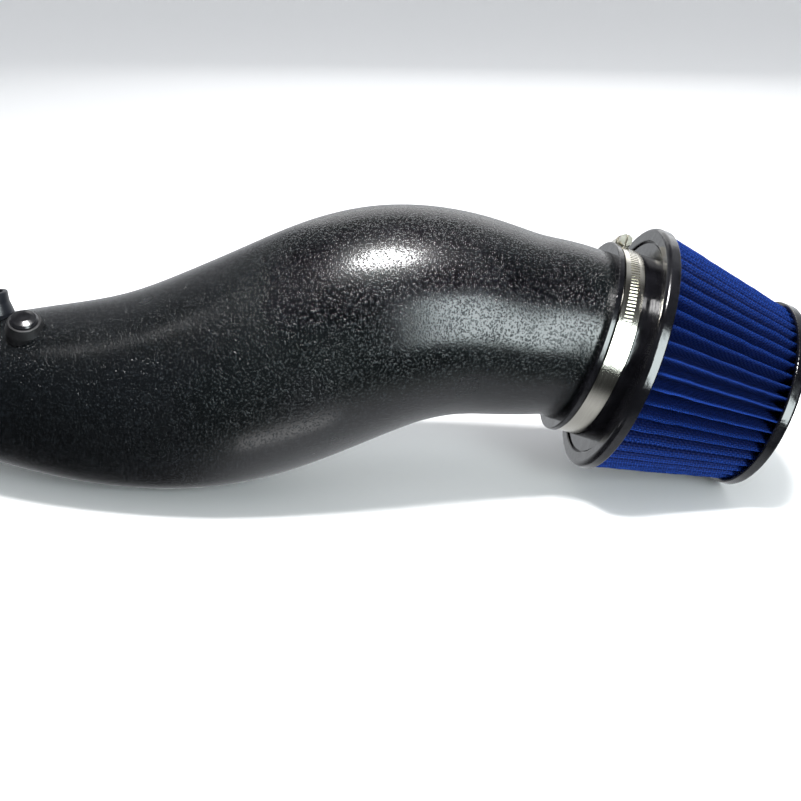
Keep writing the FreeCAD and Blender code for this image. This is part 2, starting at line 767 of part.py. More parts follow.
pieces = [
    intake_pipe,
    breather_nipple,
    sensor_grommet,
    sensor_plug,
    filter_base,
    filter_media,
    inner_cage,
    filter_end_cap,
    clamp_band,
    clamp_housing,
    clamp_screw,
]
os.makedirs("parts", exist_ok=True)
for piece in pieces:
    shape = piece.Shape
    if shape.isNull() or not shape.isValid() or len(shape.Solids) != 1:
        raise RuntimeError("%s is not one sound solid" % piece.Label)
    shape.exportStep("parts/%s.step" % piece.Label)
    box_of = shape.BoundBox
    print("%-16s %9.1f mm3  x %7.1f %7.1f  y %7.1f %7.1f  z %7.2f %7.2f" % (
        piece.Label, shape.Volume, box_of.XMin, box_of.XMax,
        box_of.YMin, box_of.YMax, box_of.ZMin, box_of.ZMax,
    ))
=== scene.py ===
# %% [markdown]
# # A cold air intake, dressed for its picture
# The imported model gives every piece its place. This lesson takes those pieces one by one, gives
# the ones that need it a finer mesh, and gives all of them a finish that is worked out from how
# the real thing is made. Lengths are millimetres wherever a size is named, and metres in Blender.

# %% Load the frame
import math

import bmesh
import bpy
import numpy as np
from mathutils import Euler, Matrix, Vector


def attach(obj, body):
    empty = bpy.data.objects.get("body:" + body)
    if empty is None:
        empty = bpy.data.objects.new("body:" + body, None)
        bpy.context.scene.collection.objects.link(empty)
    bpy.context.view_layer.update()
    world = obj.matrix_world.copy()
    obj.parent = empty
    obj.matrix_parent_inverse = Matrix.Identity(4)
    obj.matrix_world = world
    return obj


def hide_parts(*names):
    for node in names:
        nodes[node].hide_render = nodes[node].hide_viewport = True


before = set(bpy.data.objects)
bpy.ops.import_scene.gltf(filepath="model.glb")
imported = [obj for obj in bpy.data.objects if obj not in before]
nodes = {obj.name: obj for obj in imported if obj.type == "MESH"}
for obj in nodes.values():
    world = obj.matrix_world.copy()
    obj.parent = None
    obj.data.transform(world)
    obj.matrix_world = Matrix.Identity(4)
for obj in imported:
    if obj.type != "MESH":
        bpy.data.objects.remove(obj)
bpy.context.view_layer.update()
MM = 0.001
print("pieces in the frame:", ", ".join(sorted(nodes)))

# %% [markdown]
# ## Small helpers
# Every material and every Geometry Nodes tree is a graph, and writing a graph in code is the same
# step again and again: add a node, set it, join it. One function does that. The second turns the
# hex colours that people read off a screen into the linear values that Blender mixes, and the
# third puts a new object into the scene.

# %% Helpers
def add(tree, kind, inputs=None, **settings):
    """Add a node, set its options, and fill or link its sockets."""
    node = tree.nodes.new(kind)
    for name, value in settings.items():
        setattr(node, name, value)
    for key, value in (inputs or {}).items():
        if isinstance(value, bpy.types.NodeSocket):
            tree.links.new(value, node.inputs[key])
        else:
            node.inputs[key].default_value = value
    return node


def srgb(hex_colour):
    """An sRGB hex value as the linear colour that a shader takes."""
    parts = [int(hex_colour[k:k + 2], 16) / 255 for k in (1, 3, 5)]
    linear = [c / 12.92 if c <= 0.04045 else ((c + 0.055) / 1.055) ** 2.4 for c in parts]
    return (*linear, 1.0)


def put(name, data):
    """A new object in the scene."""
    thing = bpy.data.objects.new(name, data)
    bpy.context.scene.collection.objects.link(thing)
    return thing


print("a mid grey is", [round(c, 3) for c in srgb("#808080")[:3]])

# %% [markdown]
# ## The two frames that pieces are drawn in
# The pipe is drawn in the row frame. Everything on the filter is round about one tilted axis, so
# it is far easier to draw upright about local Z and then lay over, all with the same matrix. Local
# X points up and local Y towards the camera, so an angle reads from the top towards the front.

# %% Frames
SPIGOT_ROOT = Vector((-240.3, 37.6, 41.4))
SPIGOT_TURN = math.radians(40.0)
SPIGOT_SLOPE = math.radians(6.0)
spigot_out = Vector((
    -math.cos(SPIGOT_SLOPE) * math.cos(SPIGOT_TURN),
    math.cos(SPIGOT_SLOPE) * math.sin(SPIGOT_TURN),
    -math.sin(SPIGOT_SLOPE),
))
FILTER_FOOT = Vector((163.5, -15.5, 90.6))
FILTER_TILT = math.radians(19.0)
filter_along = Vector((math.cos(FILTER_TILT), 0.0, -math.sin(FILTER_TILT)))
filter_up = Vector((math.sin(FILTER_TILT), 0.0, math.cos(FILTER_TILT)))
filter_front = Vector((0.0, -1.0, 0.0))
filter_turn = Matrix((filter_up, filter_front, filter_along)).transposed().to_4x4()
filter_frame = Matrix.Translation(FILTER_FOOT * MM) @ filter_turn
print("filter axis", [round(c, 3) for c in filter_along])

# %% [markdown]
# ## Camera
# The photograph was taken from in front and a little above, with a lens a bit longer than normal.
# A camera is described by where it stands, how far it tips down and how long its lens is. The
# picture is square, so the sensor's width is all that the lens is measured against.

# %% Camera
IMAGE_SIDE = 801
FOCAL_PIXELS = 1100.0
SENSOR_WIDTH = 36.0
CAMERA_PLACE = Vector((60.0, -626.0, 302.0))
CAMERA_DIP = math.radians(22.5)
lens = bpy.data.cameras.new("photo_lens")
lens.sensor_width = SENSOR_WIDTH
lens.lens = SENSOR_WIDTH * FOCAL_PIXELS / IMAGE_SIDE
lens.clip_start = 0.01
lens.clip_end = 60.0
camera = put("camera", lens)
camera.location = CAMERA_PLACE * MM
camera.rotation_euler = Euler((math.pi / 2 - CAMERA_DIP, 0.0, 0.0))
bpy.context.scene.camera = camera
print("lens %.1f mm" % lens.lens)

# %% [markdown]
# ## A start for every material
# All finishes begin with the same three nodes: a point on the object, a shader and an output. The
# point is in metres in the row frame, because every finished piece sits unturned at the origin.
# The plain colour and roughness are what a program shows that can't follow a texture.

# %% Material start
def new_finish(name, colour, roughness, metallic=0.0, ior=None):
    """A material with its tree, its shader and the point being shaded."""
    material = bpy.data.materials.new(name)
    material.use_nodes = True
    tree = material.node_tree
    tree.nodes.clear()
    shader = add(tree, "ShaderNodeBsdfPrincipled", {
        "Base Color": srgb(colour), "Roughness": roughness, "Metallic": metallic,
    })
    if ior is not None:
        shader.inputs["IOR"].default_value = ior
    add(tree, "ShaderNodeOutputMaterial", {"Surface": shader.outputs[0]})
    point = add(tree, "ShaderNodeTexCoord").outputs["Object"]
    return material, tree, shader, point


print("materials so far:", len(bpy.data.materials))

# %% [markdown]
# ## Floor and backdrop
# A product stands on a pale sweep: a floor that curves up into a wall with no corner to catch the
# eye. A round one works from every side. It is a profile of radius and height, in metres, turned
# about Z. It is left out of reflections, because a black glossy pipe over a white floor would
# otherwise show nothing but that floor from below.

# %% Sweep
SWEEP_PROFILE = [
    (1.5, 0.0), (5.0, 0.0), (7.5, 0.05), (9.0, 0.5), (9.8, 1.6), (10.0, 4.0), (10.0, 9.0),
]
SWEEP_SIDES = 96
sweep = bmesh.new()
hoops = []
for radius, height in SWEEP_PROFILE:
    turns = [2 * math.pi * k / SWEEP_SIDES for k in range(SWEEP_SIDES)]
    hoops.append([
        sweep.verts.new((radius * math.cos(turn), radius * math.sin(turn), height))
        for turn in turns
    ])
sweep.faces.new(hoops[0])
for low, high in zip(hoops, hoops[1:]):
    for k in range(SWEEP_SIDES):
        following = (k + 1) % SWEEP_SIDES
        sweep.faces.new((low[k], high[k], high[following], low[following]))
sweep_mesh = bpy.data.meshes.new("sweep")
sweep.to_mesh(sweep_mesh)
sweep.free()
sweep_mesh.shade_smooth()
floor = put("floor_sweep", sweep_mesh)
floor.visible_glossy = False

paper, tree, shader, point = new_finish("matt_white_paper", "#f4f4f4", 0.9)
shader.inputs["Specular IOR Level"].default_value = 0.1
sweep_mesh.materials.append(paper)
print("sweep has", len(sweep_mesh.polygons), "faces")

# %% [markdown]
# ## Light
# The photograph's own highlights say where its lamps stood: a line from the camera to a highlight,
# mirrored in the surface there, runs to the lamp. One soft lamp hangs over the pipe and a tall
# window stands in front on the right. The wall behind is lit, which greys the crest. A small weak
# lamp on the left only adds sparks to the grain, and a small lit card on the table draws the pale
# streak under the belly. Black plastic shows hardly anything but these reflections.

# %% Lamps
PIPE_MIDDLE = (40.0, -40.0, 100.0)
UNDER_BELLY = (4.0, -112.0, 3.0)


def lamp(name, towards, distance, width, height, watts, colour="#ffffff", about=PIPE_MIDDLE):
    """A soft rectangular lamp in the direction `towards`, facing the point `about`."""
    light = bpy.data.lights.new(name, "AREA")
    light.shape = "RECTANGLE"
    light.size = width
    light.size_y = height
    light.energy = watts
    light.color = srgb(colour)[:3]
    holder = put(name, light)
    away = Vector(towards).normalized()
    holder.location = Vector(about) * MM + away * distance
    holder.rotation_euler = away.to_track_quat("Z", "Y").to_euler()
    holder.visible_camera = False


lamp("overhead_softbox", (0.0, -0.2, 0.97), 1.1, 0.32, 0.24, 30.0)
lamp("front_right_window", (0.50, -0.84, 0.16), 1.3, 0.42, 1.05, 24.0, "#eaf5f6")
lamp("left_lamp", (-0.72, -0.12, 0.68), 1.3, 0.12, 0.12, 0.25)
lamp("back_fill", (0.15, 0.9, 0.45), 2.2, 2.0, 1.2, 9.0)
lamp("table_card", (0.0, 0.2, -1.0), 0.0, 0.07, 0.03, 0.014, about=UNDER_BELLY)

# %% [markdown]
# ## Two words for arithmetic
# Patterns are sums, so two words serve everything below. `calc` is one step of arithmetic, and
# `spread` stretches a range of values onto another, straight or with soft ends. Each gives the
# socket that carries its result, so that words can be put inside each other.

# %% Arithmetic
SOFT = "SMOOTHSTEP"


def calc(tree, operation, *values, clamp=False):
    """The result of one Math node."""
    inputs = dict(enumerate(values))
    return add(tree, "ShaderNodeMath", inputs, operation=operation, use_clamp=clamp).outputs[0]


def spread(tree, value, start, end, low=0.0, high=1.0, step="LINEAR"):
    """Values from start to end, stretched onto low to high."""
    return add(tree, "ShaderNodeMapRange", {
        "Value": value, "From Min": start, "From Max": end, "To Min": low, "To Max": high,
    }, interpolation_type=step).outputs[0]


print("soft ends are what Blender calls", SOFT)

# %% [markdown]
# ## The room
# The room around the lamps is a world colour. What gloss mirrors is kept apart from what lights
# matt things: a photographer hangs black cloth where a shiny product would mirror a white wall,
# and still has a white floor. Mirrored, the room is dark but for the wall behind, with its two
# corners, and the table at the right. The texture reads only the direction of the ray, so it is
# the same from wherever one looks.

# %% Directions
world = bpy.data.worlds.new("studio_room")
bpy.context.scene.world = world
world.use_nodes = True
room = world.node_tree
room.nodes.clear()
ray = add(room, "ShaderNodeTexCoord")
split = add(room, "ShaderNodeSeparateXYZ", {0: ray.outputs["Generated"]})


def ramp(axis, start, end):
    """A soft step of the ray's direction along one axis."""
    return spread(room, split.outputs[axis], start, end, step=SOFT)


def both(first, second):
    """Where both steps are up."""
    return calc(room, "MULTIPLY", first, second)


def lay(part, amount, rest):
    """Light of this amount, laid over the rest."""
    return calc(room, "MULTIPLY_ADD", part, amount, rest)


print("ray split into", [socket.name for socket in split.outputs])

# %% [markdown]
# The mirrored room is laid up part by part: dark all round, then the wall behind, its two corners
# and the table. The light on matt surfaces is one soft step from the floor to the ceiling. Light
# Path says which of the two a ray gets.

# %% Room
MIRRORED_LOW = 0.025
MIRRORED_WALL = 0.9
MIRRORED_CORNER = 0.5
MIRRORED_LEFT = 0.35
MIRRORED_TABLE = 0.85
WALL_HIGH_UP = 0.1
MATT_LIGHT = 0.92
MATT_FROM_BELOW = 0.3
horizon = lay(ramp("Z", 0.5, 0.0), 1.0 - WALL_HIGH_UP, WALL_HIGH_UP)
wall = lay(both(ramp("Y", 0.4, 1.0), horizon), MIRRORED_WALL, MIRRORED_LOW)
corner = lay(both(ramp("X", 0.0, 0.5), ramp("Y", 0.1, 0.5)), MIRRORED_CORNER, wall)
left_corner = lay(both(ramp("X", -0.2, -0.6), ramp("Y", 0.15, 0.6)), MIRRORED_LEFT, corner)
mirrored = lay(both(ramp("Z", -0.6, -0.95), ramp("X", -0.25, 0.1)), MIRRORED_TABLE, left_corner)
from_above = lay(ramp("Z", -0.1, 0.7), 1.0 - MATT_FROM_BELOW, MATT_FROM_BELOW)
matt = calc(room, "MULTIPLY", from_above, MATT_LIGHT)
kind = add(room, "ShaderNodeLightPath")
level = add(room, "ShaderNodeMix", {0: kind.outputs["Is Glossy Ray"], 2: matt, 3: mirrored})
glow = add(room, "ShaderNodeBackground", {"Color": srgb("#f3f6fa"), "Strength": level.outputs[0]})
add(room, "ShaderNodeOutputWorld", {"Surface": glow.outputs[0]})
view = bpy.context.scene.view_settings
view.view_transform = "Standard"
view.look = "None"
view.exposure = 0.0
print("world ready, view transform", view.view_transform)

# %% [markdown]
# ## Words for surfaces
# `noise` is an uneven pattern whose cells have a width in millimetres, and `blend` mixes two
# colours. `emboss` raises the surface, and `paint` joins the colour and the roughness that a
# texture worked out. Most finishes are said with these four.

# %% Surface words
def per(size_mm):
    """Texture scale for a pattern whose cells are this wide."""
    return 1000.0 / size_mm


def noise(tree, point, cell_mm, detail, roughness=0.5):
    """An uneven pattern from 0 to 1."""
    return add(tree, "ShaderNodeTexNoise", {
        "Vector": point, "Scale": per(cell_mm), "Detail": detail, "Roughness": roughness,
    }).outputs["Fac"]


def blend(tree, share, first, second):
    """A mix of two colours, each a hex value or the socket of another mix."""
    first, second = (srgb(c) if isinstance(c, str) else c for c in (first, second))
    return add(tree, "ShaderNodeMix", {0: share, 6: first, 7: second}, data_type="RGBA").outputs[2]


def emboss(tree, shader, height, strength, depth_mm):
    """Shade the surface as if it stood up by this height."""
    bump = add(tree, "ShaderNodeBump", {
        "Height": height, "Strength": strength, "Distance": depth_mm * MM,
    })
    tree.links.new(bump.outputs[0], shader.inputs["Normal"])


def paint(tree, shader, colour, roughness=None):
    """Join a worked-out colour, and a roughness if there is one."""
    tree.links.new(colour, shader.inputs["Base Color"])
    if roughness is not None:
        tree.links.new(roughness, shader.inputs["Roughness"])


print("a cell of 2 mm has scale", per(2.0))

# %% [markdown]
# ## Blow-moulded polyethylene
# A pipe like this is blown from a soft tube of black polyethylene inside a sand-blasted mould. The
# mould's grit prints a grain, so a lamp's reflection has a bright middle and a wide scatter of
# sparks. The grain is a bump: a noise about a millimetre wide, cut off at its middle so that only
# scattered peaks stand up from a smooth skin. A bump over all of it would turn black into grey
# haze. The same peaks are painted a shade paler, as painted sparkle of the lamps' glints. Real grit
# is half as wide: it is drawn coarser so that it shows. A slow haze shifts colour and gloss a
# little.

# %% Pipe plastic
GRAIN = 1.05
GRAIN_DEPTH = 0.16
pipe_plastic, tree, shader, point = new_finish(
    "blow_moulded_polyethylene", "#0b0d0f", 0.24, ior=1.51)
grain = noise(tree, point, GRAIN, 1.0, 0.45)
peaks = spread(tree, grain, 0.52, 0.72, step=SOFT)
emboss(tree, shader, calc(tree, "MULTIPLY_ADD", grain, 0.35, peaks), 0.95, GRAIN_DEPTH)
haze = noise(tree, point, 55.0, 4.0, 0.6)
skin = blend(tree, spread(tree, haze, 0.3, 0.7), "#030405", "#07090b")
# Painted sparkle: the grain's peaks are painted paler, standing in for the lamps' glints on them.
painted_sparkle = blend(tree, peaks, skin, "#13171a")
paint(tree, shader, painted_sparkle, spread(tree, haze, 0.3, 0.7, 0.22, 0.28))
print("grain of", GRAIN, "mm")

# %% [markdown]
# ## The pipe's centre line
# The pipe is round everywhere, but its centre line swings and its radius swells and shrinks. That
# is a rule, so Geometry Nodes can make it: a curve that carries a radius at each point, and Curve
# to Mesh with a circle. The points come from one smooth run through nine measured sections, each
# given as x, y, z and radius. A cubic run keeps the bending even between sections, and a shiny
# surface shows any jump in that.

# %% Smooth run
SECTIONS = [
    (-216.0, 18.0, 47.5, 40.5),
    (-171.0, -5.3, 53.4, 46.8),
    (-146.0, -12.0, 54.5, 51.0),
    (-95.0, -20.0, 57.6, 58.0),
    (-50.0, -22.5, 66.5, 63.5),
    (0.0, -22.0, 85.0, 65.5),
    (50.0, -20.0, 103.0, 64.0),
    (95.0, -17.5, 104.0, 58.5),
    (132.0, -16.0, 97.5, 53.1),
]


def smooth_run(knots, values, first_slope, last_slope, at):
    """Cubic run through the values, with even bending and set slopes at both ends."""
    count = len(knots)
    gaps = np.diff(knots)
    system = np.zeros((count, count))
    right = np.zeros((count, values.shape[1]))
    system[0, 0] = system[-1, -1] = 1.0
    right[0], right[-1] = first_slope, last_slope
    rises = np.diff(values, axis=0)
    for k in range(1, count - 1):
        before, after = gaps[k - 1], gaps[k]
        system[k, k - 1:k + 2] = (1 / before, 2 / before + 2 / after, 1 / after)
        right[k] = 3 * (rises[k - 1] / before**2 + rises[k] / after**2)
    slopes = np.linalg.solve(system, right)
    span = np.clip(np.searchsorted(knots, at, side="right") - 1, 0, count - 2)
    step = gaps[span][:, None]
    share = (at - knots[span])[:, None] / step
    return (
        values[span] * (1 + 2 * share) * (1 - share) ** 2
        + slopes[span] * step * share * (1 - share) ** 2
        + values[span + 1] * share**2 * (3 - 2 * share)
        + slopes[span + 1] * step * share**2 * (share - 1)
    )


print(len(SECTIONS), "sections")

# %% [markdown]
# The run starts at the spigot's root and ends in the cuff. A lead-in at each end keeps the pipe
# straight for a centimetre, so that the bends leave both without a kink.

# %% Bends
SPIGOT_RADIUS = 38.0
SPIGOT_STEP = 1.2
CUFF_RADIUS = 51.0
LEAD_IN = 10.0
RING_GAP = 3.0
root_radius = SPIGOT_RADIUS + SPIGOT_STEP
stops = np.array([
    (*SPIGOT_ROOT, root_radius),
    (*(SPIGOT_ROOT - spigot_out * LEAD_IN), root_radius),
    *SECTIONS,
    (*(FILTER_FOOT - filter_along * LEAD_IN), CUFF_RADIUS),
    (*FILTER_FOOT, CUFF_RADIUS),
])
knots = np.concatenate([[0.0], np.cumsum(np.linalg.norm(np.diff(stops[:, :3], axis=0), axis=1))])
samples = np.linspace(0.0, knots[-1], int(knots[-1] / RING_GAP) + 1)
run = smooth_run(knots, stops, (*-spigot_out, 0.0), (*filter_along, 0.0), samples)
print("centre line of the bends: %.0f mm in %d rings" % (knots[-1], len(samples)))

# %% [markdown]
# The spigot and the cuff are straight, so they need only a few rings: one at each end, and close
# ones where the radius steps, which keeps the step crisp under smooth shading.

# %% Whole centre line
SPIGOT_LENGTH = 34.0
CUFF_LENGTH = 23.5
STEP_EASE = 0.15
SPIGOT_RINGS = [
    (SPIGOT_LENGTH, SPIGOT_RADIUS),
    (20.0, SPIGOT_RADIUS),
    (6.0, SPIGOT_RADIUS),
    (2.0, SPIGOT_RADIUS),
    (1.2, SPIGOT_RADIUS + STEP_EASE),
    (0.5, root_radius - STEP_EASE),
]
rings = [(*(SPIGOT_ROOT + spigot_out * back), radius) for back, radius in SPIGOT_RINGS]
rings += [tuple(row) for row in run]
for ahead in (8.0, 16.0, CUFF_LENGTH):
    rings.append((*(FILTER_FOOT + filter_along * ahead), CUFF_RADIUS))
path = bpy.data.curves.new("pipe_centre_line", "CURVE")
path.dimensions = "3D"
line = path.splines.new("POLY")
line.points.add(len(rings) - 1)
for spot, (x, y, z, radius) in zip(line.points, rings):
    spot.co = (x * MM, y * MM, z * MM, 1.0)
    spot.radius = radius * MM
pipe_source = put("pipe_centre_line", path)
print(len(rings), "rings in all")

# %% [markdown]
# ## The pipe's shell
# Every tree here is opened, closed and run in the same way. Realize Instances and Set Material
# close it, because an exporter keeps real faces and drops instances. Running it leaves a plain
# mesh, so that nothing later depends on the modifier.

# %% Tree helpers
def new_tree(name, inputs):
    """An empty Geometry Nodes tree with named inputs and a geometry output."""
    tree = bpy.data.node_groups.new(name, "GeometryNodeTree")
    tree.interface.new_socket("Geometry", in_out="INPUT", socket_type="NodeSocketGeometry")
    for label, kind in inputs:
        tree.interface.new_socket(label, in_out="INPUT", socket_type="NodeSocket" + kind)
    tree.interface.new_socket("Geometry", in_out="OUTPUT", socket_type="NodeSocketGeometry")
    return tree, add(tree, "NodeGroupInput").outputs


def close_tree(tree, geometry, material_socket):
    """End a tree with real geometry that carries its material."""
    real = add(tree, "GeometryNodeRealizeInstances", {0: geometry})
    worn = add(tree, "GeometryNodeSetMaterial", {
        "Geometry": real.outputs[0], "Material": material_socket,
    })
    add(tree, "NodeGroupOutput", {0: worn.outputs[0]})


def plain_mesh(thing, name):
    """What the object looks like with its modifiers, as a mesh of its own."""
    graph = bpy.context.evaluated_depsgraph_get()
    mesh = bpy.data.meshes.new_from_object(thing.evaluated_get(graph), depsgraph=graph)
    mesh.name = name
    return mesh


def run_tree(source, tree, values, name):
    """Evaluate the tree on an object and keep the result as a plain mesh at the origin."""
    modifier = source.modifiers.new(tree.name, "NODES")
    modifier.node_group = tree
    for item in tree.interface.items_tree:
        if item.in_out == "INPUT" and item.name in values:
            modifier[item.identifier] = values[item.name]
    mesh = plain_mesh(source, name)
    bpy.data.objects.remove(source)
    return put(name, mesh)


print("node trees so far:", len(bpy.data.node_groups))

# %% [markdown]
# The tube's own tree is short: Curve to Mesh puts a circle on the line, scaled by the radius at
# each point. Its inputs are named, so the number of sides can be changed in the modifier's panel.

# %% Tube tree
PIPE_SIDES = 128
tube_tree, given = new_tree("tube_along_line", [("Sides", "Int"), ("Material", "Material")])
circle = add(tube_tree, "GeometryNodeCurvePrimitiveCircle", {
    "Resolution": given["Sides"], "Radius": 1.0,
})
radius_here = add(tube_tree, "GeometryNodeInputRadius")
tube = add(tube_tree, "GeometryNodeCurveToMesh", {
    "Curve": given["Geometry"], "Profile Curve": circle.outputs["Curve"],
    "Scale": radius_here.outputs[0],
})
close_tree(tube_tree, tube.outputs[0], given["Material"])
pipe = run_tree(pipe_source, tube_tree, {
    "Sides": PIPE_SIDES, "Material": pipe_plastic,
}, "pipe_shell")
print("tube of", len(pipe.data.polygons), "faces")

# %% [markdown]
# Meshes that come out of a tree need the same care each time. `outward` closes seams and turns the
# faces out, `modify` adds a modifier, and `settle` applies what was added and shades the result.

# %% Mesh helpers
MERGE_DISTANCE = 1e-6


def outward(mesh):
    """Merge doubles and point all faces out."""
    shape = bmesh.new()
    shape.from_mesh(mesh)
    bmesh.ops.remove_doubles(shape, verts=shape.verts, dist=MERGE_DISTANCE)
    bmesh.ops.recalc_face_normals(shape, faces=shape.faces)
    shape.to_mesh(mesh)
    shape.free()


def modify(piece, kind, **settings):
    """Add a modifier and set its options."""
    modifier = piece.modifiers.new(kind.lower(), kind)
    for name, value in settings.items():
        setattr(modifier, name, value)


def settle(piece, sharp_degrees=35.0):
    """Apply the piece's modifiers and shade it smooth, but for its sharp edges."""
    mesh = plain_mesh(piece, piece.name)
    piece.modifiers.clear()
    piece.data = mesh
    mesh.shade_smooth()
    mesh.set_sharp_from_angle(angle=math.radians(sharp_degrees))


print("points closer than %g mm become one" % (MERGE_DISTANCE / MM))

# %% [markdown]
# A tube of no thickness becomes a wall with Solidify, and Bevel rounds the two mouths a little, as
# a trimmed moulding is. Last come the two holes that the fittings stand in, cut by cylinders.

# %% Wall, mouths and holes
PIPE_WALL = 3.0
MOUTH_ROUND = 0.7
HOLES = [
    ((-176.84, -8.12, 99.75), (-0.08413, 0.03605, 0.99580), 7.9),
    ((-152.81, -34.27, 99.88), (0.13738, -0.39512, 0.90830), 6.6),
]
DRILL_SIDES = 48
DRILL_DEPTH = 20.0
outward(pipe.data)
modify(pipe, "SOLIDIFY", thickness=PIPE_WALL * MM, offset=-1.0, use_even_offset=True)
modify(pipe, "BEVEL", width=MOUTH_ROUND * MM, segments=2, limit_method="ANGLE",
       angle_limit=math.radians(60))

drill_shape = bmesh.new()
for place, axis, radius in HOLES:
    turn = Vector(axis).to_track_quat("Z", "Y").to_matrix().to_4x4()
    bmesh.ops.create_cone(
        drill_shape, cap_ends=True, segments=DRILL_SIDES, radius1=radius * MM,
        radius2=radius * MM, depth=DRILL_DEPTH * MM,
        matrix=Matrix.Translation(Vector(place) * MM) @ turn,
    )
drill_mesh = bpy.data.meshes.new("drill")
drill_shape.to_mesh(drill_mesh)
drill_shape.free()
drill = put("drill", drill_mesh)
modify(pipe, "BOOLEAN", object=drill, operation="DIFFERENCE", solver="EXACT")
settle(pipe)
bpy.data.objects.remove(drill)
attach(pipe, "root")
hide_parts("intake_pipe")
print("shell of", len(pipe.data.polygons), "faces")

# %% [markdown]
# ## Moulded fittings
# The nipple, the grommet and its plug are turned shapes that are already right in the frame, so
# each keeps its solid and gets a finish. All three come out of small moulds, and differ only in
# amounts: a fine skin that bends the light, and slow patches where colour and gloss drift. The
# breather nipple is injection-moulded nylon, smoother than the pipe, with a soft satin sheen.

# %% Nipple nylon
def dress(node_name, material):
    """Give a CAD node's object a new material, leaving its mesh as it is."""
    mesh = nodes[node_name].data
    mesh.materials.clear()
    mesh.materials.append(material)
    print(node_name, "wears", material.name)


def moulded_finish(name, plain, ior, skin, relief, patches, colours, glosses):
    """A moulded surface: a fine skin, and slow patches of colour and gloss."""
    material, tree, shader, point = new_finish(name, *plain, ior=ior)
    emboss(tree, shader, noise(tree, point, *skin), *relief)
    slow = noise(tree, point, *patches)
    paint(tree, shader, blend(tree, slow, *colours), spread(tree, slow, 0.0, 1.0, *glosses))
    return material


nylon = moulded_finish(
    "satin_moulded_nylon", ("#101216", 0.34), ior=1.53, skin=(0.8, 3.0), relief=(0.25, 0.06),
    patches=(6.0, 2.0), colours=("#0c0e12", "#161920"), glosses=(0.28, 0.42))
dress("breather_nipple", nylon)

# %% [markdown]
# The grommet is soft rubber that seals by being squeezed. It is matt, and a bloom of wax makes it
# greyer in places, so its patches are wide in gloss and its skin is rough.

# %% Grommet rubber
matt_rubber = moulded_finish(
    "moulded_epdm_rubber", ("#0c0c0d", 0.5), ior=1.48, skin=(0.7, 4.0), relief=(0.4, 0.1),
    patches=(5.0, 3.0), colours=("#08080a", "#151517"), glosses=(0.4, 0.6))
dress("sensor_grommet", matt_rubber)

# %% [markdown]
# The plug in it comes from a polished mould, so its dome is the glossiest spot of the part. It
# mirrors the overhead lamp as one round point, with a faint orange peel.

# %% Plug plastic
gloss_plastic = moulded_finish(
    "glossy_moulded_polypropylene", ("#0d0d0e", 0.2), ior=1.49, skin=(1.2, 2.0),
    relief=(0.3, 0.12), patches=(4.0, 2.0), colours=("#0a0a0b", "#17171a"), glosses=(0.16, 0.3))
dress("sensor_plug", gloss_plastic)

# %% [markdown]
# ## Cast rubber of the filter
# The neck, its flange and the end cap are cast from polyurethane rubber. Out of the mould it is
# nearly as shiny as plastic, with shallow flow marks and a bloom where it has been handled. The
# bump is wide and low, which makes highlights wander instead of breaking into sparks.

# %% Filter rubber
cast_rubber, tree, shader, point = new_finish(
    "cast_polyurethane_rubber", "#0d0d10", 0.24, ior=1.52)
flow = noise(tree, point, 7.0, 2.0)
pores = noise(tree, point, 0.9, 2.0)
emboss(tree, shader, calc(tree, "MULTIPLY_ADD", pores, 0.1, flow), 0.3, 0.5)
bloom = spread(tree, noise(tree, point, 18.0, 4.0, 0.6), 0.4, 0.65)
paint(tree, shader, blend(tree, bloom, "#070709", "#111114"),
      spread(tree, bloom, 0.0, 1.0, 0.11, 0.22))
dress("filter_base", cast_rubber)
dress("filter_end_cap", cast_rubber)

# %% [markdown]
# ## Oiled gauze
# The cone is folded from layers of cotton gauze, dyed deep blue and oiled, and held in shape by a
# fine wire screen pressed onto both sides. What the eye gets is a dark velvety blue, paler and
# fuzzier where the folds stand out, with the screen's little squares over all of it. The pattern
# follows the cloth, so it reads the coordinates that the tree below stores along the folds.

# %% Gauze cloth
SCREEN_PITCH = 1.5
FUZZ_CELL = 1.1
gauze, tree, shader, point = new_finish("oiled_cotton_gauze", "#0a1c66", 0.62)
shader.inputs["Sheen Weight"].default_value = 0.1
shader.inputs["Sheen Roughness"].default_value = 0.4
shader.inputs["Sheen Tint"].default_value = srgb("#3f66d8")
shader.inputs["Specular IOR Level"].default_value = 0.15
cloth = add(tree, "ShaderNodeUVMap", uv_map="cloth")
axes = add(tree, "ShaderNodeSeparateXYZ", {0: cloth.outputs[0]})
warp, weft = (
    calc(tree, "SINE", calc(tree, "MULTIPLY", axes.outputs[axis], math.pi / SCREEN_PITCH))
    for axis in ("X", "Y")
)
over = calc(tree, "GREATER_THAN", calc(tree, "MULTIPLY", warp, weft), 0.0)
weave = add(tree, "ShaderNodeMix", {
    0: over, 2: calc(tree, "ABSOLUTE", warp), 3: calc(tree, "ABSOLUTE", weft),
}).outputs[0]
fuzz = noise(tree, point, FUZZ_CELL, 3.0, 0.7)
emboss(tree, shader, calc(tree, "MULTIPLY_ADD", fuzz, 0.8, weave), 0.8, 0.35)
print("screen drawn at", SCREEN_PITCH, "mm, about twice its real pitch, so that it shows")

# %% [markdown]
# The threads of the weave are a little paler all over, which is the cloth's own pattern. Where the
# stored height of the fold says that this is a tip, they are painted far paler as a painted
# highlight of the light on the tips, and the valleys are left dark as painted shade.

# %% Gauze colour
ridge = add(tree, "ShaderNodeAttribute", attribute_name="fold")
tips = spread(tree, ridge.outputs["Fac"], 0.72, 1.0)
